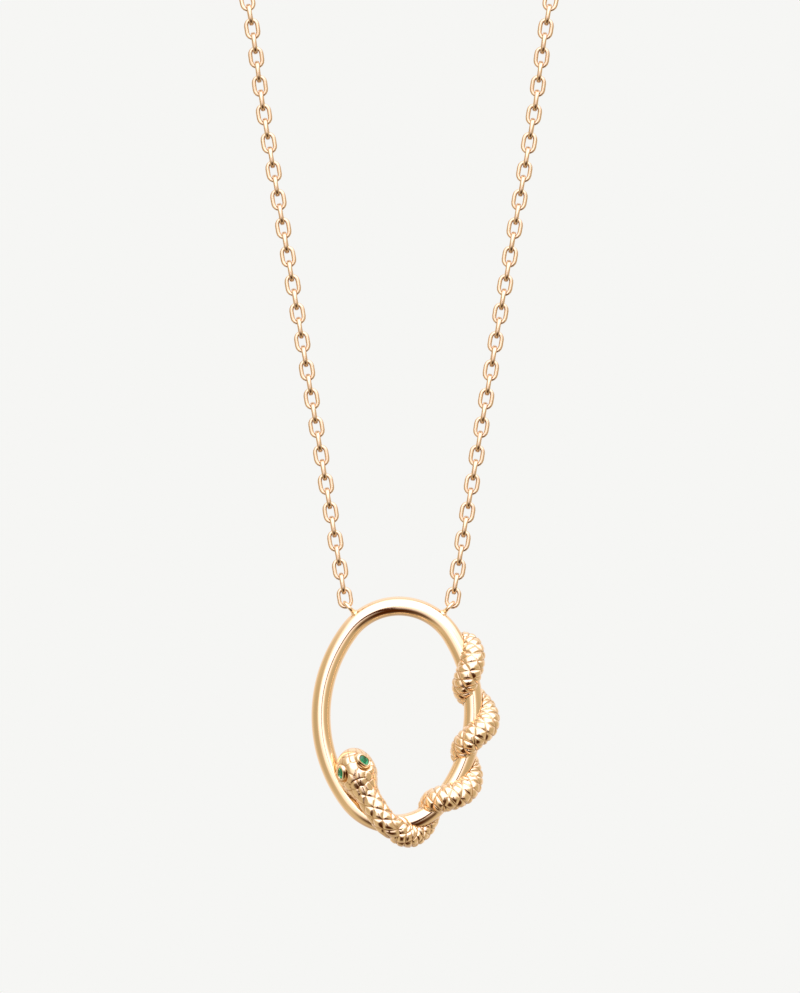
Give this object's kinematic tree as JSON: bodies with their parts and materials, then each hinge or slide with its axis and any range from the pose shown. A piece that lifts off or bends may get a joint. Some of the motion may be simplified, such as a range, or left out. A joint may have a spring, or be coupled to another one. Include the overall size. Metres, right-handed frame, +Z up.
{
  "type": "snake necklace",
  "caption": "Necklace with an oval ring pendant of round wire and a scaled snake wound round it, with stone eyes, hung by two eyelets on a whole loop of cable chain with a hidden clasp.",
  "frame": {"origin": "the middle of the clasp at the nape, where the worn necklace hangs from the back of the neck", "axes": "+Z up, +X towards the viewer's right as the pendant is seen from the front, -Y forward from the nape towards the pendant"},
  "size_m": [0.1024, 0.112, 0.1286],
  "materials": {
    "ring": "polished yellow gold",
    "snake": "polished yellow gold with raised scales",
    "eye_setting": "polished yellow gold",
    "stone": "clear green faceted stone",
    "chain": "polished gold with a rose tint",
    "clasp": "polished gold with a rose tint"
  },
  "bodies": {
    "chain": {"chain_left": "chain", "chain_right": "chain", "end_link_left": "chain", "end_link_right": "chain", "clasp": "clasp"},
    "pendant": {"ring": "ring", "snake": "snake", "eye_setting_left": "eye_setting", "eye_setting_right": "eye_setting", "eye_stone_left": "stone", "eye_stone_right": "stone"}
  },
  "joints": [
    {"name": "pendant_swing", "type": "hinge", "parent": "chain", "child": "pendant", "pos_m": [0, -0.108, -0.103], "axis": [1, 0, 0], "range_deg": [-60, 60]}
  ]
}
